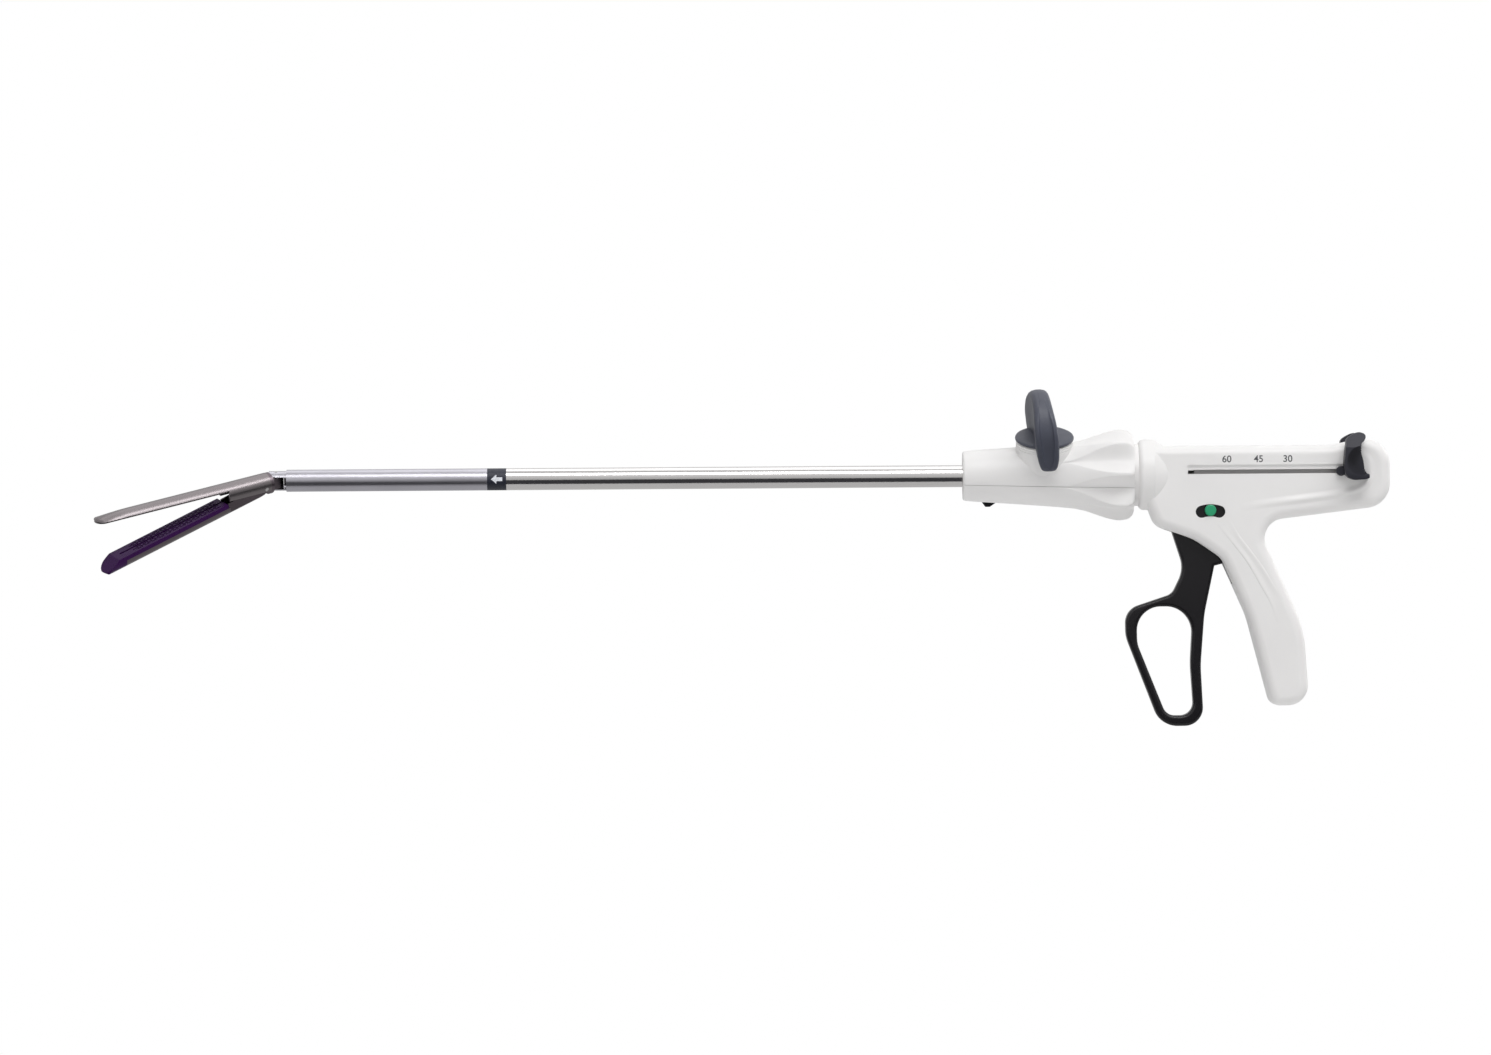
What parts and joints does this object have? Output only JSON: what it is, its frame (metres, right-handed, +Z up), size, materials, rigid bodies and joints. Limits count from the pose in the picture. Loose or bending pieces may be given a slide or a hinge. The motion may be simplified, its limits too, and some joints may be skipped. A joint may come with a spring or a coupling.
{
  "type": "linear surgical stapler",
  "caption": "Linear surgical stapler with a pistol grip, squeeze trigger, rotating knob, articulation lever, long steel shaft and bent staple-cartridge jaws",
  "frame": {"origin": "on the shaft axis at the front face of the rotation knob, where the bare tube begins", "axes": "+X runs along the shaft axis from the jaws to the handle, +Z up with the grip hanging down, +Y to the user's right"},
  "size_m": [0.7005, 0.0905, 0.1844],
  "materials": {
    "white_plastic": "satin moulded",
    "slate_plastic": "fine moulded grain",
    "charcoal_plastic": "fine moulded grain",
    "black_plastic": "smooth moulded",
    "green_plastic": "smooth moulded",
    "purple_plastic": "smooth moulded",
    "band_coating": "flat coating",
    "polished_steel": "polished",
    "satin_steel": "satin",
    "anvil_steel": "satin",
    "dark_steel": "dark satin",
    "plain_steel": "machined"
  },
  "bodies": {
    "handle": {"handle_shell_left": "white_plastic", "handle_shell_right": "white_plastic", "trigger_pin": "plain_steel"},
    "trigger": {"trigger": "black_plastic", "pawl_pin": "plain_steel"},
    "pawl": {"drive_pawl": "plain_steel"},
    "drive": {"drive_rack": "plain_steel", "return_pin": "plain_steel", "return_knob_left": "charcoal_plastic", "return_knob_right": "charcoal_plastic"},
    "safety": {"safety_slide": "black_plastic", "safety_button": "green_plastic"},
    "shaft": {"knob_upper": "white_plastic", "knob_lower": "white_plastic", "shaft_tube": "polished_steel", "load_band": "band_coating", "shaft_collar": "plain_steel", "rod_guides": "white_plastic", "reload_tube": "satin_steel", "neck_fork": "satin_steel", "neck_pins": "plain_steel"},
    "release": {"release_button": "black_plastic"},
    "lever": {"articulation_lever": "slate_plastic", "lever_crank": "plain_steel"},
    "link": {"articulation_link": "plain_steel"},
    "rod": {"drive_rod": "plain_steel"},
    "tool": {"mounting_block": "dark_steel", "anvil_plate": "anvil_steel", "anvil_cover": "anvil_steel", "anvil_collar": "anvil_steel", "jaw_pins": "plain_steel"},
    "knife": {"knife_beam": "plain_steel"},
    "jaw": {"cartridge_carrier": "dark_steel", "staple_cartridge": "purple_plastic"}
  },
  "joints": [
    {"name": "shaft_rotation", "type": "hinge", "parent": "handle", "child": "shaft", "pos_m": [0, 0, 0], "axis": [1, 0, 0], "continuous": true},
    {"name": "articulation", "type": "hinge", "parent": "shaft", "child": "tool", "pos_m": [-0.374, 0, 0], "axis": [0, -0.3746, 0.9272], "range_deg": [-80, 10]},
    {"name": "lever_turn", "type": "hinge", "parent": "shaft", "child": "lever", "pos_m": [0.0444, 0, 0], "axis": [0, -0.3746, 0.9272], "range_deg": [-19, 3]},
    {"name": "link_slide", "type": "slide", "parent": "shaft", "child": "link", "axis": [1, 0, 0], "range_m": [-0.0008, 0.0002]},
    {"name": "jaw_clamp", "type": "hinge", "parent": "tool", "child": "jaw", "pos_m": [-0.38178, -0.00468, -0.00297], "axis": [-0.5736, 0.7595, 0.3069], "range_deg": [0, 13], "stiffness_Nm_per_rad": 0.3, "springref_deg": -5.73},
    {"name": "firing_slide", "type": "slide", "parent": "handle", "child": "drive", "axis": [-1, 0, 0], "range_m": [0, 0.075]},
    {"name": "rod_slide", "type": "slide", "parent": "shaft", "child": "rod", "axis": [-1, 0, 0], "range_m": [0, 0.075]},
    {"name": "knife_slide", "type": "slide", "parent": "tool", "child": "knife", "axis": [-0.8192, -0.5318, -0.2149], "range_m": [0, 0.075]},
    {"name": "trigger_squeeze", "type": "hinge", "parent": "handle", "child": "trigger", "pos_m": [0.13, 0, -0.027], "axis": [0, -1, 0], "range_deg": [0, 18], "stiffness_Nm_per_rad": 0.5, "springref_deg": -11.46},
    {"name": "pawl_pivot", "type": "hinge", "parent": "trigger", "child": "pawl", "pos_m": [0.134, 0, -0.013], "axis": [0, -1, 0], "range_deg": [0, 10], "stiffness_Nm_per_rad": 0.01, "springref_deg": -5.73},
    {"name": "safety_turn", "type": "hinge", "parent": "handle", "child": "safety", "pos_m": [0.1341, 0, -0.0346], "axis": [0, 1, 0], "range_deg": [-12.5, 12.5]},
    {"name": "release_slide", "type": "slide", "parent": "shaft", "child": "release", "axis": [1, 0, 0], "range_m": [0, 0.005], "stiffness_N_per_m": 200, "springref_m": -0.002}
  ],
  "couplings": [
    {"joint": "lever_turn", "follows": "articulation", "ratio": 0.23},
    {"joint": "link_slide", "follows": "articulation", "m_per_rad": 0.00055},
    {"joint": "rod_slide", "follows": "firing_slide", "ratio": 1},
    {"joint": "knife_slide", "follows": "firing_slide", "ratio": 1}
  ]
}
